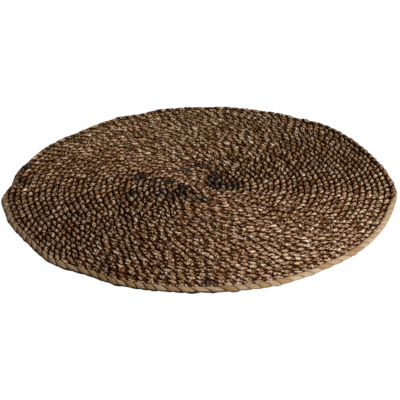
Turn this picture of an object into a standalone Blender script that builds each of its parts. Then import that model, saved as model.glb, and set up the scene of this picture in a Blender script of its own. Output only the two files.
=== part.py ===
"""A round seagrass placemat: rope wound in a flat spiral coil, edged with one turn of unstained rope.

Units are metres, +Z up. The origin lies on the table, below the middle of the mat's outline.
Seen from above, the rope winds outwards clockwise and stops at the left, where it leaves a step.
"""

import math
from collections import namedtuple

import bmesh
import bpy

# Driving dimensions
MAT_RADIUS = 0.190  # mean radius over the outer rope
ROPE_DIAMETER = 0.00585  # also the pitch, from one turn to the next
GROOVE_DEPTH = 0.0017  # of the groove between two turns, below their crests
HEART_RADIUS = 0.0020  # the folded start of the rope
ROPE_END_ANGLE = 176.0  # degrees from +X, where the outer rope stops
GAP = 0.0004  # between the coil and the rope round it, 0.3 mm where their corners face

# The outer rope: two strands twisted to the right
BUMP_LENGTH = 0.0104  # from one strand's bump to the next along the rope
GROOVE_RADIUS = 0.0020  # between the two strands
SHOULDER_RADIUS = 0.00275  # halfway between a strand's crown and its groove
START_TRIM = 0.0020  # the rope's first end stops short of the coil's end by this
TAPER_LENGTH = 0.022  # the length over which each end thins
TAPER_LEAST = 0.62  # its thickness at the tip, as a share of the rope's

# How fine the steps are
STEPS_PER_TURN = 40
WALL_STEPS = 4  # in each of those steps, on the coil's outer side
RINGS_PER_BUMP = 4

# Where the outline stands out (+) or in (-): angles in degrees from +X, anticlockwise
Swell = namedtuple("Swell", "angle reach height")
SWELLS = (
    Swell(angle=18, reach=20, height=-0.0023),
    Swell(angle=43, reach=12, height=0.0026),
    Swell(angle=88, reach=24, height=0.0006),
    Swell(angle=111, reach=8, height=-0.0032),
    Swell(angle=135, reach=16, height=-0.0033),
    Swell(angle=151, reach=9, height=0.0012),
    Swell(angle=169, reach=12, height=0.0027),
    Swell(angle=184, reach=12, height=0.0029),
    Swell(angle=210, reach=12, height=-0.0018),
    Swell(angle=226, reach=8, height=0.0021),
    Swell(angle=238, reach=9, height=-0.0029),
    Swell(angle=252, reach=16, height=-0.0002),
    Swell(angle=290, reach=22, height=0.0024),
    Swell(angle=316, reach=20, height=0.0012),
    Swell(angle=353, reach=12, height=0.0018),
)
SWELL_FADE = 3  # the power of the radius with which a swell fades towards the middle

# The edge curls up a little off the table at one place
LIFT_ANGLE = 216.0
LIFT_REACH = 26.0
LIFT_HEIGHT = 0.0015
LIFT_START_RADIUS = 0.140

# Worked out from the sizes above
CREST_Z = ROPE_DIAMETER
GROOVE_Z = ROPE_DIAMETER - GROOVE_DEPTH
TOTAL_STEPS = round((MAT_RADIUS + ROPE_DIAMETER / 2 - HEART_RADIUS) / ROPE_DIAMETER * STEPS_PER_TURN)
COIL_STEPS = TOTAL_STEPS - 2 * STEPS_PER_TURN

Material = namedtuple("Material", "name colour roughness")
STAINED = Material("stained seagrass", (0.13, 0.085, 0.055, 1.0), 0.55)
PLAIN = Material("plain seagrass", (0.50, 0.36, 0.20, 1.0), 0.60)


def hump(angle, middle, reach):
    """A smooth hump round the middle angle: 1 there, 0 from the reach outwards."""
    away = abs((angle - middle + 180.0) % 360.0 - 180.0)
    if away >= reach:
        return 0.0
    return 0.5 * (1.0 + math.cos(math.pi * away / reach))


def place(radius, angle, height):
    """The point at this radius, angle and height once the outline's swells and the lifted edge are added."""
    out = radius / MAT_RADIUS
    swell = sum(row.height * hump(angle, row.angle, row.reach) for row in SWELLS)
    swollen = radius + swell * out**SWELL_FADE
    raised = max(0.0, (radius - LIFT_START_RADIUS) / (MAT_RADIUS - LIFT_START_RADIUS))
    lift = LIFT_HEIGHT * hump(angle, LIFT_ANGLE, LIFT_REACH) * raised**2
    turn = math.radians(angle)
    return (swollen * math.cos(turn), swollen * math.sin(turn), height + lift)


def groove_radius(step):
    """The radius of the groove on the rope's inner side, this many steps along the winding."""
    return HEART_RADIUS + ROPE_DIAMETER * step / STEPS_PER_TURN


def step_angle(step):
    """The angle reached this many steps along the winding, in degrees."""
    return ROPE_END_ANGLE + 360.0 * (TOTAL_STEPS - step) / STEPS_PER_TURN


def add_material(obj, material):
    made = bpy.data.materials.new(material.name)
    made.use_nodes = True
    surface = made.node_tree.nodes["Principled BSDF"]
    surface.inputs["Base Color"].default_value = material.colour
    surface.inputs["Roughness"].default_value = material.roughness
    surface.inputs["Metallic"].default_value = 0.0
    obj.data.materials.append(made)


def add_object(name, shape, material):
    """Turns the faces outwards and makes an object of the mesh."""
    bmesh.ops.recalc_face_normals(shape, faces=shape.faces)
    mesh = bpy.data.meshes.new(name)
    shape.to_mesh(mesh)
    shape.free()
    mesh.shade_smooth()
    mesh.set_sharp_from_angle(angle=math.radians(50))
    obj = bpy.data.objects.new(name, mesh)
    bpy.context.scene.collection.objects.link(obj)
    add_material(obj, material)
    return obj


def make_coil():
    """The stained coil: one rib for each turn of rope on top, and a flat underside."""
    shape = bmesh.new()
    point = shape.verts.new
    face = shape.faces.new

    def groove(step):
        return point(place(groove_radius(step), step_angle(step), GROOVE_Z))

    def crest(step):
        return point(place(groove_radius(step + STEPS_PER_TURN / 2), step_angle(step), CREST_Z))

    # The outer side, in finer steps, one gap inside the outer rope
    wall_count = STEPS_PER_TURN * WALL_STEPS
    wall_top, wall_foot = [], []
    for fine in range(wall_count + 1):
        step = COIL_STEPS + fine / WALL_STEPS
        radius = groove_radius(step) - GAP
        wall_top.append(point(place(radius, step_angle(step), GROOVE_Z)))
        wall_foot.append(point(place(radius, step_angle(step), 0.0)))
    for fine in range(wall_count):
        face((wall_top[fine], wall_top[fine + 1], wall_foot[fine + 1], wall_foot[fine]))

    # The ribs: each turn shares its outer groove with the next one out
    grooves = [groove(step) for step in range(COIL_STEPS)] + [wall_top[0]]
    crests = [crest(step) for step in range(COIL_STEPS + 1)]
    for step in range(COIL_STEPS):
        face((grooves[step], grooves[step + 1], crests[step + 1], crests[step]))
        outer = step + STEPS_PER_TURN
        if outer < COIL_STEPS:
            face((crests[step], crests[step + 1], grooves[outer + 1], grooves[outer]))
        else:
            first = (outer - COIL_STEPS) * WALL_STEPS
            edge = wall_top[first : first + WALL_STEPS + 1]
            face([crests[step], crests[step + 1], *reversed(edge)])

    # The heart, round which the rope starts
    heart = point(place(0.0, 0.0, CREST_Z))
    ring = grooves[: STEPS_PER_TURN + 1] + [crests[0]]
    for start, end in zip(ring, ring[1:] + ring[:1]):
        face((heart, start, end))

    # The cut end of the last turn
    face((wall_top[0], crests[-1], wall_top[-1], wall_foot[-1], wall_foot[0]))

    # The underside: flat as far as the lifted edge, then a band out to the wall's foot
    flat = []
    for step in range(STEPS_PER_TURN):
        flat.append(point(place(LIFT_START_RADIUS, step_angle(COIL_STEPS + step), 0.0)))
    face(flat)
    for step in range(STEPS_PER_TURN):
        first = step * WALL_STEPS
        band = [flat[step], *wall_foot[first : first + WALL_STEPS + 1]]
        if step + 1 < STEPS_PER_TURN:
            face([*band, flat[step + 1]])
        else:
            face([*band, wall_foot[0], flat[0]])
    return add_object("coil", shape, STAINED)


def make_rim_rope():
    """The plain rope round the coil, with its two strands' twist raised."""
    shape = bmesh.new()
    section = (ROPE_DIAMETER / 2, SHOULDER_RADIUS, GROOVE_RADIUS, SHOULDER_RADIUS) * 2
    length = 2 * math.pi * (MAT_RADIUS - ROPE_DIAMETER / 2)
    bumps = round(length / BUMP_LENGTH)
    ring_count = bumps * RINGS_PER_BUMP
    start_step = COIL_STEPS + START_TRIM / length * STEPS_PER_TURN
    end_step = COIL_STEPS + STEPS_PER_TURN
    rings = []
    for index in range(ring_count + 1):
        share = index / ring_count
        step = start_step + (end_step - start_step) * share
        radius = groove_radius(step + STEPS_PER_TURN / 2)
        twist = math.pi * index / RINGS_PER_BUMP
        tip = min(share, 1.0 - share) * length / TAPER_LENGTH
        thickness = TAPER_LEAST + (1.0 - TAPER_LEAST) * min(1.0, tip) ** 0.5
        ring = []
        for corner, reach in enumerate(section):
            turn = twist + 2 * math.pi * corner / len(section)
            across = thickness * reach * math.cos(turn)
            height = thickness * (ROPE_DIAMETER / 2 + reach * math.sin(turn))
            ring.append(shape.verts.new(place(radius + across, step_angle(step), height)))
        rings.append(ring)
    # Each square is split along its short diagonal, which runs along the rope, so the strands stay full
    for back, front in zip(rings, rings[1:]):
        for corner in range(len(section)):
            after = (corner + 1) % len(section)
            shape.faces.new((back[corner], back[after], front[corner]))
            shape.faces.new((back[after], front[after], front[corner]))
    shape.faces.new(rings[0])
    shape.faces.new(rings[-1])
    return add_object("rim_rope", shape, PLAIN)


def main():
    for old in list(bpy.data.objects):
        bpy.data.objects.remove(old, do_unlink=True)
    coil = make_coil()
    rim_rope = make_rim_rope()

    # Both hang from one empty, moved so that the middle of the outline lies over the origin
    xs = [vertex.co.x for vertex in rim_rope.data.vertices]
    ys = [vertex.co.y for vertex in rim_rope.data.vertices]
    placemat = bpy.data.objects.new("placemat", None)
    bpy.context.scene.collection.objects.link(placemat)
    placemat.location = (-(min(xs) + max(xs)) / 2, -(min(ys) + max(ys)) / 2, 0.0)
    coil.parent = placemat
    rim_rope.parent = placemat


main()
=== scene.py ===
"""A round seagrass placemat: rope wound in a flat coil, stained dark on top, with a plain rope round it.

Units are metres, +Z up, in the part's own frame: the mat lies on the plane z = 0, its outline's middle
over the origin. Seen from above, the rope winds outwards clockwise and stops at the left.
"""

import math
from collections import namedtuple

import bpy
import numpy as np
from mathutils import Matrix, Vector


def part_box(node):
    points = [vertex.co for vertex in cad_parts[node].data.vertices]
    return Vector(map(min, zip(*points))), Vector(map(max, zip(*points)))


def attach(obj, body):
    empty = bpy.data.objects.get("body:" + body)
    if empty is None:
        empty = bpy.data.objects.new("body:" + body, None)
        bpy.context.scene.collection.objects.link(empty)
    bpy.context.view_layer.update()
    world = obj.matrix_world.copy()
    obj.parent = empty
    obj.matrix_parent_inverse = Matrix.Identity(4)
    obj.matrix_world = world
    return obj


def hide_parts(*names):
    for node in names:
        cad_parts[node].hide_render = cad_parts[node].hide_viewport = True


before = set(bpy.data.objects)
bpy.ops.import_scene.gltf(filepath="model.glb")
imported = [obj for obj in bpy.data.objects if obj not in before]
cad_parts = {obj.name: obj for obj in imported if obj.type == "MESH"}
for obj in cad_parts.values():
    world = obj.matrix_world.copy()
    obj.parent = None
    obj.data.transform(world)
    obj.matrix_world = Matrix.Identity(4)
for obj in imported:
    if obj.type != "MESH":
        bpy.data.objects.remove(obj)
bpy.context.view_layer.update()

SEED = 27  # of everything random

# Driving sizes of the winding, the same as the solids'
MAT_RADIUS = 0.190  # mean radius over the outer rope
ROPE_DIAMETER = 0.00585  # also the pitch, from one turn to the next
HEART_RADIUS = 0.0020  # the folded start of the rope
ROPE_END_ANGLE = 176.0  # degrees from +X, where the outer rope stops
STEPS_PER_TURN = 40
TOTAL_STEPS = round((MAT_RADIUS + ROPE_DIAMETER / 2 - HEART_RADIUS) / ROPE_DIAMETER * STEPS_PER_TURN)
COIL_STEPS = TOTAL_STEPS - 2 * STEPS_PER_TURN  # where the coil ends and the outer rope starts

HEART_STEPS = 40  # the rope goes on inwards for so many steps, to close the heart
COIL_PIECES = 5  # the coil's rope is cut into so many pieces
LINE_POINTS = 8  # of the rope's middle line, in each step
EDGE_POINTS = 20  # in each step, where the reach of the outer rope is measured

# Where the outline stands out (+) or in (-): angles in degrees from +X, anticlockwise
Swell = namedtuple("Swell", "angle reach height")
SWELLS = (
    Swell(angle=18, reach=20, height=-0.0023),
    Swell(angle=43, reach=12, height=0.0026),
    Swell(angle=88, reach=24, height=0.0006),
    Swell(angle=111, reach=8, height=-0.0032),
    Swell(angle=135, reach=16, height=-0.0033),
    Swell(angle=151, reach=9, height=0.0012),
    Swell(angle=169, reach=12, height=0.0027),
    Swell(angle=184, reach=12, height=0.0029),
    Swell(angle=210, reach=12, height=-0.0018),
    Swell(angle=226, reach=8, height=0.0021),
    Swell(angle=238, reach=9, height=-0.0029),
    Swell(angle=252, reach=16, height=-0.0002),
    Swell(angle=290, reach=22, height=0.0024),
    Swell(angle=316, reach=20, height=0.0012),
    Swell(angle=353, reach=12, height=0.0018),
)
SWELL_FADE = 3  # the power of the radius with which a swell fades towards the middle

# The edge curls up a little off the table at one place, with its angles in degrees too
LIFT_ANGLE = 216.0
LIFT_REACH = 26.0
LIFT_HEIGHT = 0.0015
LIFT_START_RADIUS = 0.140

# The rope's section: two oval strands that press into each other
STRAND_OFFSET = 0.00114  # from the rope's middle to a strand's
STRAND_DEPTH = 0.00181  # half a strand's width, measured away from the rope's middle
STRAND_WIDTH = 0.00232  # half its width across that
GROOVE_ANGLE = math.pi - math.acos(STRAND_OFFSET / STRAND_DEPTH)  # from a crown round to the other strand

# Where turns press against each other, a little below the rope's middle, the flanks are full
FLANK_REACH = 0.00314  # from the rope's middle
FLANK_LOW = -0.62  # the sine of the angle above the horizontal where a full flank starts
FLANK_HIGH = 0.30  # and where it ends
FLANK_FADE = 0.20  # it comes in over so much at each of them
UNDER_REACH = 0.00225  # of the grooves on the underside

# How each rope is made
Make = namedtuple(
    "Make",
    (
        "bump_length",  # from one strand's bump to the next along the rope
        "rise_above",  # the height above the rope's middle, as a share of half its width
        "rise_below",  # and the height below it
        "start_taper",  # the length over which the first end thins
        "end_taper",  # and the last end
        "start_least",  # the first end's thickness at its tip, as a share of the rope's
        "end_least",  # and the last end's
        "twist_drift",  # the angle in radians by which the twist runs ahead or behind
        "drift_length",  # and the length over which that changes
        "strand_points",  # round a strand
        "lay_rings",  # in the length of two bumps
    ),
)
COIL_ROPE = Make(
    bump_length=0.0088,
    rise_above=0.98,
    rise_below=0.58,
    start_taper=0.001,
    end_taper=0.001,
    start_least=0.90,
    end_least=0.85,
    twist_drift=0.40,
    drift_length=0.015,
    strand_points=10,
    lay_rings=20,
)
RIM_ROPE = Make(
    bump_length=0.0104,
    rise_above=1.0,
    rise_below=1.0,
    start_taper=0.001,
    end_taper=0.036,
    start_least=0.85,
    end_least=0.25,
    twist_drift=0.25,
    drift_length=0.025,
    strand_points=14,
    lay_rings=28,
)
TAPER_POWER = 0.8  # of the length from a tip, by which the rope thickens
END_TUCK = 0.0040  # how far inwards the outer end bends, against the turn inside it

# How uneven the rope is. Each length is that over which the unevenness named with it changes
TWIST_WANDER = 1.3  # radians that the twist runs ahead or behind over a longer length
TWIST_WANDER_LENGTH = 0.060
BUMP_UNEVEN = 0.10  # share of a bump's size
STRAND_UNEVEN = 0.05  # share of a strand's size
STRAND_UNEVEN_LENGTH = 0.008
ROPE_UNEVEN = 0.03  # share of the rope's size
ROPE_UNEVEN_LENGTH = 0.045
SIDE_DRIFT = 0.00006  # of the rope from its middle line
HEIGHT_DRIFT = 0.00030
DRIFT_LENGTH = 0.014
WOBBLE = 0.00072  # of neighbouring turns together, away from an even winding
WOBBLE_LENGTH = 0.005
WOBBLE_FADE = 3  # the power of the radius with which the wobble dies down towards the edge

# A bump keeps its own values over its crown, and between bumps they fade into each other
BUMP_HELD = 0.38  # turns of the strand on each side of the crown
BUMP_FADE = 0.24  # turns between them

# The blades of grass that a strand is twisted from
BLADE_WIDTH = 0.0009
BLADE_LENGTH = 0.0011
BLADE_RELIEF = 0.00018
BLADE_MOST = 1.2  # the fullest that a blade swells
BLADE_MEAN = 0.7  # the swell at which it neither stands out nor in
BLADE_UNDER = 0.3  # its relief at the rope's side, as a share of that on top
CREASE_WIDTH = 0.32  # as a share of a blade's swell

# How light a strand is, and of which hue: one part that each bump has, and one that changes slowly
BUMP_TONE = 0.75
SLOW_TONE = 0.45
SLOW_TONE_LENGTH = 0.055
BUMP_TINT = 0.8
SLOW_TINT = 0.5
SLOW_TINT_LENGTH = 0.050
STRAND_APART = 7.0  # between the strands in the grain's space, so that their grain differs

# The UV map: the rope's skin in rows side by side, and its two ends as discs in a last row
ROPE_GIRTH = 0.017  # the way round the rope
UV_SIDE = 0.002  # free at each side of the map
UV_ROW_GAP = 0.04  # free on each side of a row, as a share of it
UV_DISC = 0.45  # a disc's radius, as a share of a row
UV_DISC_PLACES = (0.25, 0.75)

# Colours, as linear red, green and blue
# The deepest stain, darkened further as painted shade
STAIN_DEEP_AND_SHADE = (0.019, 0.0040, 0.0003, 1.0)
STAIN_MID = (0.128, 0.047, 0.012, 1.0)
STAIN_GREYISH = (0.095, 0.047, 0.017, 1.0)
# Worn grass, lightened as painted highlight too
STAIN_WORN_AND_HIGHLIT = (0.41, 0.262, 0.143, 1.0)
STAIN_ORANGE = (0.33, 0.15, 0.055, 1.0)
STAIN_OLIVE = (0.325, 0.225, 0.090, 1.0)
STAIN_PINK = (0.40, 0.216, 0.143, 1.0)
# A painted highlight
PAINTED_HIGHLIGHT = (0.66, 0.54, 0.42, 1.0)
POOLED = (0.008, 0.006, 0.006, 1.0)
PLAIN_GOLD = (0.288, 0.187, 0.098, 1.0)
PLAIN_PALE = (0.385, 0.29, 0.20, 1.0)
PLAIN_PINK = (0.325, 0.185, 0.095, 1.0)
PLAIN_OLIVE = (0.32, 0.23, 0.11, 1.0)
PLAIN_BROWN = (0.22, 0.12, 0.050, 1.0)
# Painted shade in the plain rope's grooves
PLAIN_GROOVE_SHADE = (0.11, 0.052, 0.020, 1.0)
# Painted shade, multiplied in away from the lamp's side
PLAIN_PAINTED_SHADE = (0.80, 0.75, 0.68, 1.0)
# A painted shadow at the rope's foot
FOOT_PAINTED_SHADOW = (0.020, 0.010, 0.005, 1.0)
FLOOR_GREY = (0.06, 0.06, 0.06, 1.0)
WHITE = (1.0, 1.0, 1.0, 1.0)

# Noises on the strands' skin, with how many cells they have in a metre across a strand and along it
Grain = namedtuple("Grain", "across along detail roughness", defaults=(2.0, 0.5))
FIBRE_GRAIN = Grain(across=1900.0, along=260.0, detail=3.0, roughness=0.6)
BLADE_GRAIN = Grain(across=480.0, along=380.0)
SPECK_GRAIN = Grain(across=440.0, along=520.0)
HUE_GRAIN = Grain(across=520.0, along=330.0, detail=1.0)
PATCH_CELLS = 60.0  # in a metre of the mat, the same every way
PATCH_DETAIL = 3.0

# A fade takes a value from start to end and turns it into low to high, held beyond both. The names below
# say what comes in by which value
Fade = namedtuple("Fade", "start end low high", defaults=(0.0, 1.0))
HELD = Fade(0.0, 1.0)  # the value itself, held between 0 and 1
SPECK = Fade(0.45, 0.55)  # makes specks with soft edges of a noise
FLECK = Fade(0.44, 0.56)  # and flecks

# Plain grass
PLAIN_PINK_BY_TINT = Fade(0.0, 1.4)
PLAIN_OLIVE_BY_TINT = Fade(0.0, -1.4)
PLAIN_BROWN_BY_TONE = Fade(0.0, -1.2, 0.0, 0.6)
PALE_BY_FLECK = 0.5
PALE_BY_TONE = 0.35
PALE_BY_BACK = Fade(-0.16, -0.07, 0.0, 0.35)
GROOVE_SHADE_BY_CROWN = Fade(0.24, 0.0)  # painted shade in the groove between two strands
GROOVE_SHADE_BY_FIBRE = Fade(0.47, 0.35, 0.0, 0.5)
GROOVE_SHADE_BY_BRIGHT = Fade(0.18, 0.12, 0.6, 1.0)  # painted groove shade is fainter at the lamp's side
PAINTED_SHADE_BY_BRIGHT = Fade(0.185, 0.08)  # painted shade: grass is darker away from the lamp's side
FOOT_SHADOW_BY_HEIGHT = Fade(0.66, 0.44)  # and a painted shadow at its foot there
FOOT_SHADOW_BY_BRIGHT = Fade(0.17, 0.135)

# How worn the stain is, by what makes it more or less so; towards the lamp's side it is lifted as painted
# light
WEAR_BY_SPECK = 1.15
WEAR_BY_FLECK = 0.20
WEAR_BY_PATCH = 0.35
WEAR_BY_TONE = 0.16
WEAR_BY_CREASE = -0.9
# painted light: lighter towards the lamp's side at the front right
PAINTED_LIGHT_BY_BRIGHT = Fade(0.08, 0.15, 0.0, 0.20)
WEAR_BY_RIGHT = Fade(0.08, 0.17, 0.0, -0.09)

# Where the stain is brown, not almost black: on the strands' bodies, and where it is a little worn.
# Elsewhere pooled stain and painted shade make it almost black
BODY_BY_CROWN = Fade(0.04, 0.23)
BODY_BY_HEIGHT = Fade(0.38, 0.64)
BODY_BY_SIDE = Fade(1.15, 0.90)
BODY_BY_CLIMB = Fade(-0.26, 0.10)
BROWN_BY_WEAR = Fade(0.0, 0.7, 0.1, 1.0)
BROWN_BY_TINT = Fade(-0.8, 0.8)

# Where it has worn off, and is lighter as painted highlight too: on their summits, and at the back on their
# slanted tails too
SUMMIT_BY_CROWN = Fade(0.15, 0.40)
SUMMIT_BY_HEIGHT = Fade(0.52, 0.80)
SUMMIT_BY_SIDE = Fade(1.12, 0.86)
SUMMIT_BY_CLIMB = Fade(0.02, 0.38)
SUMMIT_BY_BACK = Fade(0.02, 0.14, 0.0, 0.5)
WORN_AND_HIGHLIT_BY_WEAR = Fade(0.18, 1.14)
SIDE_BY_SPECK = 0.5  # specks make both uneven towards the rope's sides

# Where a painted highlight lies on the worn grass, at its highest and most worn, and the worn grass's other
# hues
HIGHLIGHT_BY_WEAR = Fade(0.95, 1.50)
HIGHLIGHT_BY_HEIGHT = Fade(0.84, 1.0)
PINK_BY_HUE = Fade(0.46, 0.58)
PINK_BY_BACK = Fade(0.08, -0.04, 0.3, 1.0)
OLIVE_BY_HUE = Fade(0.45, 0.35)
OLIVE_BY_BACK = Fade(-0.06, 0.06, 0.2, 0.9)
OLIVE_BY_TINT = Fade(-0.6, -1.8, 0.0, 0.7)
ORANGE_BY_TINT = Fade(0.8, 1.6, 0.0, 0.9)

# How far down the stain reaches: to the coil's foot, and only to the top of the rope round it
COIL_STAIN = Fade(0.10, 0.35)
RIM_STAIN = Fade(0.96, 1.06)
STAIN_BY_PATCH = 0.2
STAIN_BY_BLADE = 0.3
STAIN_BY_SIDE = -0.30  # less far down on the rope's outer side
STAIN_BY_BACK = Fade(-0.02, 0.01, 0.0, 0.4)  # further down at the back of the mat
BACK_BY_RIGHT = Fade(0.0, 0.19, 0.0, 0.035)  # which at the right begins further to the front

# Finish
GRASS_IOR = 1.4
GRASS_SPECULAR = 0.04
ROUGH_BY_FIBRE = Fade(0.3, 0.8, 0.42, 0.60)
ROUGH_BY_CROWN = Fade(0.5, 0.1, 0.0, 0.3)
RELIEF_STRENGTH = 0.6
RELIEF_DEPTH = 0.00035

BRIGHT_WAY = (0.707, -0.707, 0.0)  # towards the lamp's side, where the painted shade and shadow on the plain rope fade out

# Where the stain has pooled almost black: the place on the mat, and how far the blotch reaches
Blotch = namedtuple("Blotch", "x y reach")
BLOTCHES = (
    Blotch(x=-0.060, y=0.022, reach=0.014),
    Blotch(x=-0.045, y=0.010, reach=0.012),
    Blotch(x=-0.064, y=-0.012, reach=0.011),
    Blotch(x=-0.037, y=-0.010, reach=0.012),
    Blotch(x=-0.027, y=-0.017, reach=0.010),
    Blotch(x=-0.014, y=-0.018, reach=0.011),
    Blotch(x=0.002, y=-0.027, reach=0.011),
    Blotch(x=0.001, y=0.047, reach=0.011),
    Blotch(x=0.009, y=0.045, reach=0.009),
    Blotch(x=0.017, y=0.019, reach=0.016),
    Blotch(x=0.019, y=0.000, reach=0.018),
    Blotch(x=0.033, y=0.001, reach=0.014),
    Blotch(x=-0.011, y=0.036, reach=0.011),
    Blotch(x=-0.028, y=0.012, reach=0.010),
    Blotch(x=-0.176, y=0.049, reach=0.011),
    Blotch(x=-0.177, y=0.020, reach=0.011),
    Blotch(x=-0.180, y=-0.008, reach=0.008),
    Blotch(x=-0.085, y=-0.143, reach=0.010),
    Blotch(x=0.006, y=-0.177, reach=0.011),
    Blotch(x=-0.017, y=-0.003, reach=0.010),
)
BLOTCH_CORE = 0.2  # the share of its reach over which a blotch is deepest
POOLED_BY_WEAR = Fade(1.3, 0.7, 0.55, 0.97)

# The studio
FLOOR_REACH = 3.0  # from its middle to each side
FLOOR_GAP = 0.0002  # below the mat, so that none of its faces lies in the floor's plane
FLOOR_ROUGHNESS = 0.8
FLOOR_GLOW = 0.98
WORLD_GLOW = 0.12
LIGHT_PLACE = (0.92, -0.67, 1.0)
LIGHT_SIZE = 0.34
LIGHT_POWER = 32.0  # watts

# The camera
CAMERA_DISTANCE = 1.19
CAMERA_ELEVATION = 27.97  # degrees above the table
CAMERA_ROLL = -1.3  # degrees
CAMERA_CLIP_START = 0.01
IMAGE_SIZE = 400  # pixels
FOCAL_PIXELS = 1202.8
ORIGIN_PIXEL = (198.3, 189.6)  # where the origin shows
SENSOR_WIDTH = 36.0  # millimetres


def hump(angle, middle, reach):
    """A smooth hump round the middle angle: 1 there, 0 from the reach outwards."""
    away = np.abs((angle - middle + 180.0) % 360.0 - 180.0)
    return np.where(away < reach, 0.5 * (1.0 + np.cos(np.pi * np.minimum(away / reach, 1.0))), 0.0)


def winding(step):
    """The rope's middle line at these steps along the winding, about the heart: an array of x, y, lift."""
    radius = HEART_RADIUS + ROPE_DIAMETER * (step / STEPS_PER_TURN + 0.5)
    angle = ROPE_END_ANGLE + 360.0 * (TOTAL_STEPS - step) / STEPS_PER_TURN
    swell = sum(row.height * hump(angle, row.angle, row.reach) for row in SWELLS)
    swollen = radius + swell * (radius / MAT_RADIUS) ** SWELL_FADE
    raised = np.maximum(0.0, (radius - LIFT_START_RADIUS) / (MAT_RADIUS - LIFT_START_RADIUS))
    lift = LIFT_HEIGHT * hump(angle, LIFT_ANGLE, LIFT_REACH) * raised**2
    turn = np.radians(angle)
    return np.stack((swollen * np.cos(turn), swollen * np.sin(turn), lift), axis=1)


def heart_place():
    """Where the winding's heart lies, so that the outer rope fills its CAD node's box evenly."""
    steps = np.linspace(COIL_STEPS, COIL_STEPS + STEPS_PER_TURN, EDGE_POINTS * STEPS_PER_TURN)
    line = winding(steps)[:, :2]
    low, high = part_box("rim_rope")
    middle = np.array(((low.x + high.x) / 2, (low.y + high.y) / 2))
    return middle - (line.min(axis=0) + line.max(axis=0)) / 2


def wander(position, length, rng):
    """A smooth random line along the rope, about 1 high, that changes over this length."""
    knots = rng.normal(size=int(position.max() / length) + 4)
    place = position / length
    before = place.astype(int)
    share = place - before
    share = share * share * (3.0 - 2.0 * share)
    return knots[before] * (1.0 - share) + knots[before + 1] * share


def ripple(points, rng, waves=14):
    """A smooth random field over an array of points, about 1 high."""
    ways = rng.normal(size=(points.shape[-1], waves))
    starts = rng.uniform(0.0, 2 * np.pi, waves)
    return np.sin(points @ ways + starts).sum(axis=-1) * math.sqrt(2.0 / waves)


def wobble(place, rng):
    """How far the rope strays from its even winding: a smooth field, nothing at the coil's edge."""
    out = np.linalg.norm(place, axis=-1) / (MAT_RADIUS - ROPE_DIAMETER)
    field = np.stack([ripple(place / WOBBLE_LENGTH, rng) for _ in range(2)], axis=-1)
    return WOBBLE * np.maximum(0.0, 1.0 - out**WOBBLE_FADE)[..., None] * field


def bump_values(turns, rng):
    """One random value for each bump of a strand, held over its crown and mixed underneath.

    turns counts the strand's turns round the rope: whole numbers are at the top."""
    knots = rng.normal(size=int(turns.max()) + 4)
    before = np.floor(turns).astype(int)
    share = np.clip((turns - before - BUMP_HELD) / BUMP_FADE, 0.0, 1.0)
    before = before + 1
    return knots[before] * (1.0 - share) + knots[before + 1] * share


def thinning(tip, least):
    """The rope's size near an end, as a share. tip is 0 at the end and 1 where the taper starts."""
    return least + (1.0 - least) * np.clip(tip, 0.0, 1.0) ** TAPER_POWER


def press_flanks(across, height, size):
    """Pushes a section's points out to its flanks, where the turns touch."""
    reach = np.hypot(across, height)
    rise = height / reach
    inside = np.minimum((rise - FLANK_LOW) / FLANK_FADE, (FLANK_HIGH - rise) / FLANK_FADE)
    wide = size * FLANK_REACH * np.clip(inside, 0.0, 1.0)
    grown = np.where(rise < FLANK_LOW, np.maximum(reach, size * UNDER_REACH) / reach, 1.0)
    return np.sign(across) * np.maximum(np.abs(across) * grown, wide), height * grown


def ring_places(first_step, last_step, middle, make):
    """The even middle line as rings: how far along each lies, its step, its centre and its way outwards."""
    fine = np.linspace(first_step, last_step, int((last_step - first_step) * LINE_POINTS) + 1)
    line = winding(fine)
    line[:, :2] += middle
    pace = np.linalg.norm(np.diff(line, axis=0), axis=1)
    along = np.concatenate(([0.0], np.cumsum(pace)))
    ring_count = round(along[-1] / make.bump_length / 2 * make.lay_rings)
    position = np.linspace(0.0, along[-1], ring_count + 1)
    step = np.interp(position, along, fine)
    centre = np.stack([np.interp(position, along, line[:, axis]) for axis in range(3)], axis=1)
    way = np.gradient(centre[:, :2], axis=0)
    way /= np.linalg.norm(way, axis=1)[:, None]
    return position, step, centre, np.stack((-way[:, 1], way[:, 0]), axis=1)


def stray_together(centre, step, outward, middle, rng):
    """How far the rope strays together with its neighbours, and the room that this leaves it.

    The room is measured from the rope's middle line to the next one, outwards and inwards."""
    lanes = centre[None, :, :2] + outward[None] * ROPE_DIAMETER * np.array((0, 1, -1))[:, None, None]
    strays = wobble(lanes - middle, rng)
    here, outer, inner = (winding(step + turns)[:, :2] for turns in (0, STEPS_PER_TURN, -STEPS_PER_TURN))
    room_out = np.linalg.norm(outer - here, axis=1) + np.sum((strays[1] - strays[0]) * outward, axis=1)
    room_in = np.linalg.norm(here - inner, axis=1) + np.sum((strays[0] - strays[2]) * outward, axis=1)
    return strays[0], room_out, room_in


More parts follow.
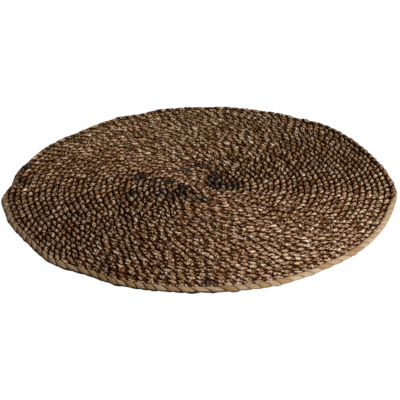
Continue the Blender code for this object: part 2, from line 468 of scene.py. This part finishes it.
def make_strand(number, twist, position, size, turn, rng):
    """One strand on all the rope's rings: where its points are, and what the material needs.

    turn holds the angle of each point round the strand, 0 at its crown."""
    lean = twist + number * np.pi
    turns = lean / (2 * np.pi) - 0.25 + 2.0  # a whole number at the top, and always above 0
    fat = bump_values(turns, rng)
    plump = size * (1.0 + BUMP_UNEVEN * fat + STRAND_UNEVEN * wander(position, STRAND_UNEVEN_LENGTH, rng))

    facing = lean[:, None] + turn[None, :]
    along = np.broadcast_to(position[:, None], facing.shape)
    skin = np.stack((STRAND_WIDTH * np.cos(facing), STRAND_WIDTH * np.sin(facing), along), axis=-1)
    swell = np.minimum(np.abs(ripple(skin / (BLADE_WIDTH, BLADE_WIDTH, BLADE_LENGTH), rng)), BLADE_MOST)
    relief = BLADE_RELIEF * (swell - BLADE_MEAN) * np.clip(BLADE_UNDER + np.sin(facing), 0.0, 1.0)
    out_part = plump[:, None] * (STRAND_OFFSET + STRAND_DEPTH * np.cos(turn)) + relief * np.cos(turn)
    side_part = plump[:, None] * (STRAND_WIDTH * np.sin(turn)) + relief * np.sin(turn)

    slow = wander(position, SLOW_TONE_LENGTH, rng)
    tone = BUMP_TONE * bump_values(turns, rng) + SLOW_TONE * slow
    tint = BUMP_TINT * bump_values(turns, rng) + SLOW_TINT * wander(position, SLOW_TINT_LENGTH, rng)
    return {
        "across": out_part * np.cos(lean)[:, None] - side_part * np.sin(lean)[:, None],
        "height": out_part * np.sin(lean)[:, None] + side_part * np.cos(lean)[:, None],
        "tone": np.broadcast_to(tone[:, None], facing.shape),
        "tint": np.broadcast_to(tint[:, None], facing.shape),
        "crown": np.broadcast_to(0.5 + 0.5 * np.cos(turn * math.pi / GROOVE_ANGLE), facing.shape),
        "climb": np.broadcast_to(np.sin(lean)[:, None], facing.shape),
        "crease": np.clip(1.0 - swell / CREASE_WIDTH, 0.0, 1.0),
        "grain": skin + (0.0, 0.0, number * STRAND_APART),
    }


# A laid rope: its rings' points, each ring's step along the winding, its length, and the values that the
# material reads at each point. Those are tone and tint, a strand's shade and hue; crown, from 0 in the
# groove to 1 on the strand's crown; climb, the sine of the strand's angle round the rope; crease, the
# dark lines between blades; side and height, the place in the rope's section; and grain, the place on
# the strand's skin
Rope = namedtuple("Rope", "points step length values")


def make_rope(first_step, last_step, middle, rng, make):
    """Rope from one step of the winding to another."""
    position, step, centre, outward = ring_places(first_step, last_step, middle, make)
    length = float(position[-1])
    strayed, room_out, room_in = stray_together(centre, step, outward, middle, rng)
    centre[:, :2] += strayed

    twist = np.pi * position / make.bump_length
    twist += make.twist_drift * wander(position, make.drift_length, rng)
    twist += TWIST_WANDER * wander(position, TWIST_WANDER_LENGTH, rng)
    size = 1.0 + ROPE_UNEVEN * wander(position, ROPE_UNEVEN_LENGTH, rng)
    end_thin = thinning((length - position) / make.end_taper, make.end_least)
    thin = end_thin * thinning(position / make.start_taper, make.start_least)
    size *= thin
    aside = SIDE_DRIFT * wander(position, DRIFT_LENGTH, rng) - (1.0 - end_thin) * END_TUCK
    up = HEIGHT_DRIFT * wander(position, DRIFT_LENGTH, rng)

    # Each strand's outline goes from the groove on one side of it to the groove on the other
    turn = np.linspace(-GROOVE_ANGLE, GROOVE_ANGLE, make.strand_points, endpoint=False)
    strands = [make_strand(number, twist, position, size, turn, rng) for number in range(2)]
    values = {label: np.concatenate([one[label] for one in strands], axis=1) for label in strands[0]}

    # The section fills the room between its neighbours and stands on the table
    across, height = press_flanks(values.pop("across"), values.pop("height"), thin[:, None])
    across *= np.where(across > 0.0, room_out[:, None], room_in[:, None]) / ROPE_DIAMETER
    across += aside[:, None]
    half = ROPE_DIAMETER / 2
    height = height * np.where(height > 0.0, make.rise_above, make.rise_below)
    height += (half * make.rise_below * thin + up)[:, None]
    height = np.maximum(height, 0.0)
    values["side"] = across / half
    values["height"] = height / (half * make.rise_below + half * make.rise_above)

    points = np.empty(across.shape + (3,))
    points[..., :2] = centre[:, None, :2] + outward[:, None, :] * across[..., None]
    points[..., 2] = height + centre[:, None, 2]
    return Rope(points, step, length, values)


def with_end_middles(values):
    """Values of a tube's points, ring after ring, and then those of the middles of its two ends."""
    flat = values.reshape(-1, *values.shape[2:])
    return np.concatenate((flat, values[:1].mean(axis=1), values[-1:].mean(axis=1)))


def tube_faces(count, around):
    """A closed tube's faces: squares between its rings, and a fan of triangles round each end's middle."""
    col = np.arange(around)
    after = (col + 1) % around
    row = np.arange(count - 1)[:, None] * around
    squares = np.stack((row + col, row + after, row + around + after, row + around + col), axis=-1)
    start_middle = count * around
    top = (count - 1) * around
    start_fan = np.stack((after, col, np.full(around, start_middle)), axis=-1)
    end_fan = np.stack((top + col, top + after, np.full(around, start_middle + 1)), axis=-1)
    return squares.reshape(-1, 4), np.concatenate((start_fan, end_fan))


def tube_uv(count, around, length):
    """A UV map for the corners of tube_faces, on which the rope's skin keeps its proportions."""
    segments = count - 1
    rows = max(1, round(math.sqrt(length / ROPE_GIRTH)))
    per_row = math.ceil(segments / rows)
    rows = math.ceil(segments / per_row) + 1  # and one more row for the two ends
    ring = np.arange(segments)[:, None, None]
    lane = ring // per_row
    u = ring - lane * per_row + np.array((0, 0, 1, 1))
    u = UV_SIDE + (1 - 2 * UV_SIDE) * np.broadcast_to(u, (segments, around, 4)) / per_row
    v = (np.arange(around)[None, :, None] + np.array((0, 1, 1, 0))) / around
    v = (lane + UV_ROW_GAP + (1 - 2 * UV_ROW_GAP) * v) / rows
    skin = np.stack((u, v), axis=-1).reshape(-1, 2)

    col = np.arange(around)
    turn = 2 * np.pi * np.stack(((col + 1) % around, col, col), axis=-1) / around
    disc = np.stack((np.cos(turn), np.sin(turn)), axis=-1)
    disc[:, 2] = 0.0
    radius = UV_DISC / rows
    start_disc = disc * radius + (UV_DISC_PLACES[0], 1 - 0.5 / rows)
    end_disc = disc[:, (1, 0, 2)] * radius + (UV_DISC_PLACES[1], 1 - 0.5 / rows)
    return np.concatenate((skin, start_disc.reshape(-1, 2), end_disc.reshape(-1, 2)))


def add_rope_piece(name, rope, first, last):
    """A closed tube through the rope's rings from first to last, with a UV map and the rope's values."""
    rings = rope.points[first : last + 1]
    count, around = rings.shape[:2]
    verts = with_end_middles(rings)
    squares, fans = tube_faces(count, around)
    loops = np.concatenate((squares.ravel(), fans.ravel()))
    sizes = np.concatenate((np.full(len(squares), 4), np.full(len(fans), 3)))
    starts = np.concatenate(([0], np.cumsum(sizes)[:-1]))
    mesh = bpy.data.meshes.new(name)
    mesh.vertices.add(len(verts))
    mesh.vertices.foreach_set("co", verts.astype(np.float32).ravel())
    mesh.loops.add(len(loops))
    mesh.loops.foreach_set("vertex_index", loops.astype(np.int32))
    mesh.polygons.add(len(sizes))
    mesh.polygons.foreach_set("loop_start", starts.astype(np.int32))
    mesh.polygons.foreach_set("loop_total", sizes.astype(np.int32))

    length = rope.length * (last - first) / (len(rope.points) - 1)
    layer = mesh.uv_layers.new(name="OFBake")
    layer.data.foreach_set("uv", tube_uv(count, around, length).astype(np.float32).ravel())

    for label, values in rope.values.items():
        flat = with_end_middles(values[first : last + 1]).astype(np.float32)
        if flat.ndim == 2:
            made = mesh.attributes.new(label, "FLOAT_VECTOR", "POINT")
            made.data.foreach_set("vector", flat.ravel())
        else:
            made = mesh.attributes.new(label, "FLOAT", "POINT")
            made.data.foreach_set("value", flat)
    mesh.update(calc_edges=True)
    mesh.validate()
    mesh.shade_smooth()
    piece = bpy.data.objects.new(name, mesh)
    bpy.context.scene.collection.objects.link(piece)
    return piece


class Nodes:
    """Short ways to add shader nodes to one material."""

    def __init__(self, name):
        self.material = bpy.data.materials.new(name)
        self.material.use_nodes = True
        self.tree = self.material.node_tree
        self.surface = self.tree.nodes["Principled BSDF"]

    def add(self, kind, **settings):
        node = self.tree.nodes.new(kind)
        for key, value in settings.items():
            setattr(node, key, value)
        return node

    def put(self, value, socket):
        """Links another node's output to the socket, or sets the socket to a plain value."""
        if isinstance(value, bpy.types.NodeSocket):
            self.tree.links.new(value, socket)
        else:
            socket.default_value = value

    def put_all(self, values, node):
        """Links or sets several of a node's sockets, by name."""
        for label, value in values.items():
            self.put(value, node.inputs[label])

    def value(self, name):
        return self.add("ShaderNodeAttribute", attribute_name=name).outputs["Fac"]

    def vector(self, name):
        return self.add("ShaderNodeAttribute", attribute_name=name).outputs["Vector"]

    def math(self, operation, first, second=0.0):
        node = self.add("ShaderNodeMath", operation=operation)
        self.put(first, node.inputs[0])
        self.put(second, node.inputs[1])
        return node.outputs[0]

    def product(self, first, *others):
        for other in others:
            first = self.math("MULTIPLY", first, other)
        return first

    def total(self, first, *others):
        for other in others:
            first = self.math("ADD", first, other)
        return first

    def greatest(self, first, *others):
        for other in others:
            first = self.math("MAXIMUM", first, other)
        return first

    def swing(self, noise, by):
        """A noise's way up or down from its middle value, times a number."""
        return self.product(self.math("SUBTRACT", noise, 0.5), by)

    def fade(self, value, row, smooth=False):
        node = self.add("ShaderNodeMapRange", clamp=True)
        if smooth:
            node.interpolation_type = "SMOOTHSTEP"
        self.put(value, node.inputs["Value"])
        labels = ("From Min", "From Max", "To Min", "To Max")
        self.put_all(dict(zip(labels, row)), node)
        return node.outputs["Result"]

    def vector_math(self, operation, vector, by):
        node = self.add("ShaderNodeVectorMath", operation=operation)
        self.put(vector, node.inputs[0])
        node.inputs[1].default_value = by
        return node

    def noise(self, vector, scale, detail, roughness=0.5):
        node = self.add("ShaderNodeTexNoise")
        self.put_all({"Vector": vector, "Scale": scale, "Detail": detail, "Roughness": roughness}, node)
        return node.outputs["Fac"]

    def mix(self, share, first, second, blend="MIX"):
        node = self.add("ShaderNodeMix", data_type="RGBA", blend_type=blend)
        self.put(share, node.inputs["Factor"])
        self.put(first, node.inputs[6])
        self.put(second, node.inputs[7])
        return node.outputs[2]


class Grass(Nodes):
    """Twisted seagrass: golden where it is plain, and dark brown where it is stained."""

    def __init__(self, name):
        super().__init__(name)
        self.tone = self.value("tone")
        self.tint = self.value("tint")
        self.crown = self.value("crown")
        self.climb = self.value("climb")
        self.crease = self.value("crease")
        self.side = self.value("side")
        self.height = self.value("height")

        # Noises along the grass, and a large one over the mat
        self.grain = self.vector("grain")
        self.fibre = self.grain_noise(FIBRE_GRAIN)
        self.blade = self.grain_noise(BLADE_GRAIN)
        self.speck = self.grain_noise(SPECK_GRAIN)
        self.hue = self.grain_noise(HUE_GRAIN)
        self.fleck = self.fade(self.blade, FLECK)
        self.place = self.add("ShaderNodeTexCoord").outputs["Object"]
        self.patch = self.noise(self.place, PATCH_CELLS, PATCH_DETAIL)

        # How far a point lies to the right, to the back, and to the bright side
        apart = self.add("ShaderNodeSeparateXYZ")
        self.put(self.place, apart.inputs[0])
        self.right = apart.outputs["X"]
        self.back = apart.outputs["Y"]
        self.bright = self.vector_math("DOT_PRODUCT", self.place, BRIGHT_WAY).outputs["Value"]

    def grain_noise(self, row):
        cells = self.vector_math("MULTIPLY", self.grain, (row.across, row.across, row.along)).outputs[0]
        return self.noise(cells, 1.0, row.detail, row.roughness)

    def plain(self):
        """Plain grass: strands of several shades, with painted shade in the grooves between them, painted
        shade away from the lamp's side and a painted shadow at its foot there.
        """
        colour = self.mix(self.fade(self.tint, PLAIN_PINK_BY_TINT), PLAIN_GOLD, PLAIN_PINK)
        colour = self.mix(self.fade(self.tint, PLAIN_OLIVE_BY_TINT), colour, PLAIN_OLIVE)
        pale = self.total(self.product(self.fleck, PALE_BY_FLECK), self.product(self.tone, PALE_BY_TONE))
        colour = self.mix(self.fade(pale, HELD), colour, PLAIN_PALE)
        # Painted shade in the grooves between the strands and between some fibres, fainter at the lamp's
        # side
        groove_shade = self.greatest(self.fade(self.crown, GROOVE_SHADE_BY_CROWN), self.fade(self.fibre, GROOVE_SHADE_BY_FIBRE))
        groove_shade = self.product(groove_shade, self.fade(self.bright, GROOVE_SHADE_BY_BRIGHT))
        colour = self.mix(groove_shade, colour, PLAIN_GROOVE_SHADE)
        colour = self.mix(self.fade(self.tone, PLAIN_BROWN_BY_TONE), colour, PLAIN_BROWN)
        colour = self.mix(self.fade(self.back, PALE_BY_BACK), colour, PLAIN_PALE)
        # Painted shade: the plain grass is darker away from the lamp's side
        colour = self.mix(self.fade(self.bright, PAINTED_SHADE_BY_BRIGHT), colour, PLAIN_PAINTED_SHADE, blend="MULTIPLY")
        # A painted shadow at the rope's foot, on the side away from the lamp
        foot_shadow = self.product(self.fade(self.height, FOOT_SHADOW_BY_HEIGHT), self.fade(self.bright, FOOT_SHADOW_BY_BRIGHT))
        return self.mix(foot_shadow, colour, FOOT_PAINTED_SHADOW)

    def wear_and_light(self):
        """How worn the stain is: in specks and flecks, less in the creases, uneven over the mat, and more
        towards the lamp's side as painted light.
        """
        return self.total(
            self.product(self.fade(self.speck, SPECK), WEAR_BY_SPECK),
            self.product(self.fleck, WEAR_BY_FLECK),
            self.swing(self.patch, WEAR_BY_PATCH),
            self.product(self.tone, WEAR_BY_TONE),
            # Painted light: more worn, so lighter, towards the lamp's side
            self.fade(self.bright, PAINTED_LIGHT_BY_BRIGHT),
            self.fade(self.right, WEAR_BY_RIGHT),
            self.product(self.crease, WEAR_BY_CREASE),
        )

    def worn_and_highlit_colour(self):
        """The colour of grass from which the stain has worn, lightened as painted highlight: pinker at the
        front, more olive at the back.
        """
        pink = self.product(self.fade(self.hue, PINK_BY_HUE), self.fade(self.back, PINK_BY_BACK))
        olive = self.product(self.fade(self.hue, OLIVE_BY_HUE), self.fade(self.back, OLIVE_BY_BACK))
        colour = self.mix(pink, STAIN_WORN_AND_HIGHLIT, STAIN_PINK)
        colour = self.mix(olive, colour, STAIN_OLIVE)
        colour = self.mix(self.fade(self.tint, ORANGE_BY_TINT), colour, STAIN_ORANGE)
        return self.mix(self.fade(self.tint, OLIVE_BY_TINT), colour, STAIN_OLIVE)

    def stained(self):
        """Stained grass: almost black in the grooves, from pooled stain and painted shade; brown on the
        strands; worn in flecks on their crowns, which carry painted highlights too.
        """
        aside = self.total(self.math("ABSOLUTE", self.side), self.swing(self.speck, SIDE_BY_SPECK))
        wear_and_light = self.wear_and_light()
        body = self.product(
            self.fade(self.crown, BODY_BY_CROWN),
            self.fade(self.height, BODY_BY_HEIGHT),
            self.fade(aside, BODY_BY_SIDE),
            self.fade(self.climb, BODY_BY_CLIMB),
        )
        summit = self.product(
            self.fade(self.crown, SUMMIT_BY_CROWN),
            self.fade(self.height, SUMMIT_BY_HEIGHT),
            self.fade(aside, SUMMIT_BY_SIDE),
            self.greatest(self.fade(self.climb, SUMMIT_BY_CLIMB), self.fade(self.back, SUMMIT_BY_BACK)),
        )
        brown = self.mix(self.fade(self.tint, BROWN_BY_TINT), STAIN_GREYISH, STAIN_MID)
        # Almost black outside the strands' bodies: pooled stain, darkened further as painted shade
        colour = self.mix(self.product(body, self.fade(wear_and_light, BROWN_BY_WEAR)), STAIN_DEEP_AND_SHADE, brown)
        # Worn summits, lighter also as painted highlights
        worn_and_highlit = self.product(summit, self.fade(wear_and_light, WORN_AND_HIGHLIT_BY_WEAR))
        colour = self.mix(worn_and_highlit, colour, self.worn_and_highlit_colour())
        # Painted highlights on the highest, most worn spots
        painted_highlight = self.product(self.fade(self.height, HIGHLIGHT_BY_HEIGHT), self.fade(wear_and_light, HIGHLIGHT_BY_WEAR))
        colour = self.mix(self.product(worn_and_highlit, painted_highlight), colour, PAINTED_HIGHLIGHT)
        pooled = self.product(self.blotches(), self.fade(wear_and_light, POOLED_BY_WEAR))
        return self.mix(pooled, colour, POOLED)

    def blotches(self):
        """How deep the pooled stain is: 1 in a blotch's middle, 0 outside them all."""
        shares = []
        for row in BLOTCHES:
            away = self.vector_math("DISTANCE", self.place, (row.x, row.y, ROPE_DIAMETER)).outputs["Value"]
            shares.append(self.fade(away, Fade(row.reach, BLOTCH_CORE * row.reach), smooth=True))
        return self.greatest(*shares)

    def stain_reach(self, rim):
        """1 where the grass is stained, and 0 below the stain's uneven edge."""
        edge = self.total(
            self.height,
            self.swing(self.patch, STAIN_BY_PATCH),
            self.swing(self.blade, STAIN_BY_BLADE),
        )
        if not rim:
            return self.fade(edge, COIL_STAIN)
        behind = self.total(self.back, self.fade(self.right, BACK_BY_RIGHT))
        edge = self.total(edge, self.product(self.side, STAIN_BY_SIDE), self.fade(behind, STAIN_BY_BACK))
        return self.fade(edge, RIM_STAIN)


def grass_material(name, rim):
    """The material of the stained coil, or of the plain rope at its rim."""
    nodes = Grass(name)
    height = nodes.total(nodes.fibre, nodes.blade)
    relief = nodes.add("ShaderNodeBump")
    nodes.put_all({"Strength": RELIEF_STRENGTH, "Distance": RELIEF_DEPTH, "Height": height}, relief)
    surface = {
        "Base Color": nodes.mix(nodes.stain_reach(rim), nodes.plain(), nodes.stained()),
        "Roughness": nodes.total(
            nodes.fade(nodes.fibre, ROUGH_BY_FIBRE),
            nodes.fade(nodes.crown, ROUGH_BY_CROWN),
        ),
        "IOR": GRASS_IOR,
        "Specular IOR Level": GRASS_SPECULAR,
        "Normal": relief.outputs["Normal"],
    }
    nodes.put_all(surface, nodes.surface)
    return nodes.material


def make_coil(middle, rng):
    """The stained coil, in a few pieces that follow each other along the rope, each with its flat size."""
    rope = make_rope(-HEART_STEPS, COIL_STEPS, middle, rng, COIL_ROPE)
    material = grass_material("stained_seagrass", rim=False)
    last_ring = len(rope.points) - 1
    cuts = np.linspace(0, last_ring, COIL_PIECES + 1).astype(int)
    made = []
    for number, (first, last) in enumerate(zip(cuts, cuts[1:])):
        piece = add_rope_piece(f"coil_rope_{number + 1}", rope, first, last)
        piece.data.materials.append(material)
        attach(piece, "root")
        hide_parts("coil")
        length = rope.length * (last - first) / last_ring
        turns = (rope.step[last] - rope.step[first]) / STEPS_PER_TURN
        # A band of rope in so many turns is a flat sheet: its width, and its length round
        made.append((piece, (turns * ROPE_DIAMETER, length / turns)))
    return made


def make_rim(middle, rng):
    """The plain rope round the coil."""
    rope = make_rope(COIL_STEPS, COIL_STEPS + STEPS_PER_TURN, middle, rng, RIM_ROPE)
    piece = add_rope_piece("rim_rope_turn", rope, 0, len(rope.points) - 1)
    piece.data.materials.append(grass_material("plain_seagrass", rim=True))
    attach(piece, "root")
    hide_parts("rim_rope")
    return piece


def make_floor():
    mesh = bpy.data.meshes.new("floor")
    corners = [(x * FLOOR_REACH, y * FLOOR_REACH, 0.0) for x, y in ((-1, -1), (1, -1), (1, 1), (-1, 1))]
    mesh.from_pydata(corners, [], [(0, 1, 2, 3)])
    floor = bpy.data.objects.new("floor", mesh)
    floor.location.z = -FLOOR_GAP
    bpy.context.scene.collection.objects.link(floor)
    nodes = Nodes("floor")
    surface = {
        "Base Color": FLOOR_GREY,
        "Specular IOR Level": 0.0,
        "Roughness": FLOOR_ROUGHNESS,
        "Emission Color": WHITE,
        "Emission Strength": FLOOR_GLOW,
    }
    nodes.put_all(surface, nodes.surface)
    mesh.materials.append(nodes.material)


def make_light():
    """A soft lamp at the front right that faces the mat."""
    data = bpy.data.lights.new("key_light", "AREA")
    data.shape = "SQUARE"
    data.size = LIGHT_SIZE
    data.energy = LIGHT_POWER
    light = bpy.data.objects.new("key_light", data)
    light.location = LIGHT_PLACE
    light.rotation_euler = (-Vector(LIGHT_PLACE)).to_track_quat("-Z", "Y").to_euler()
    bpy.context.scene.collection.objects.link(light)


def make_world():
    world = bpy.data.worlds.new("studio")
    world.use_nodes = True
    back = world.node_tree.nodes["Background"]
    back.inputs["Color"].default_value = WHITE
    back.inputs["Strength"].default_value = WORLD_GLOW
    bpy.context.scene.world = world


def make_camera():
    """A camera in front of the mat that looks down at the origin."""
    data = bpy.data.cameras.new("camera")
    data.sensor_width = SENSOR_WIDTH
    data.lens = FOCAL_PIXELS / IMAGE_SIZE * SENSOR_WIDTH
    data.shift_x = 0.5 - ORIGIN_PIXEL[0] / IMAGE_SIZE
    data.shift_y = ORIGIN_PIXEL[1] / IMAGE_SIZE - 0.5
    data.clip_start = CAMERA_CLIP_START
    camera = bpy.data.objects.new("camera", data)
    rise = math.radians(CAMERA_ELEVATION)
    back = Matrix.Translation((0.0, -CAMERA_DISTANCE * math.cos(rise), CAMERA_DISTANCE * math.sin(rise)))
    tilt = Matrix.Rotation(math.pi / 2 - rise, 4, "X")
    roll = Matrix.Rotation(math.radians(CAMERA_ROLL), 4, "Z")
    camera.matrix_world = back @ tilt @ roll
    bpy.context.scene.collection.objects.link(camera)
    bpy.context.scene.camera = camera


def main():
    make_camera()
    make_world()
    make_light()
    make_floor()
    rng = np.random.default_rng(SEED)
    middle = heart_place()
    bands = make_coil(middle, rng)
    rim = make_rim(middle, rng)
    bpy.context.scene.view_settings.view_transform = "Standard"


main()
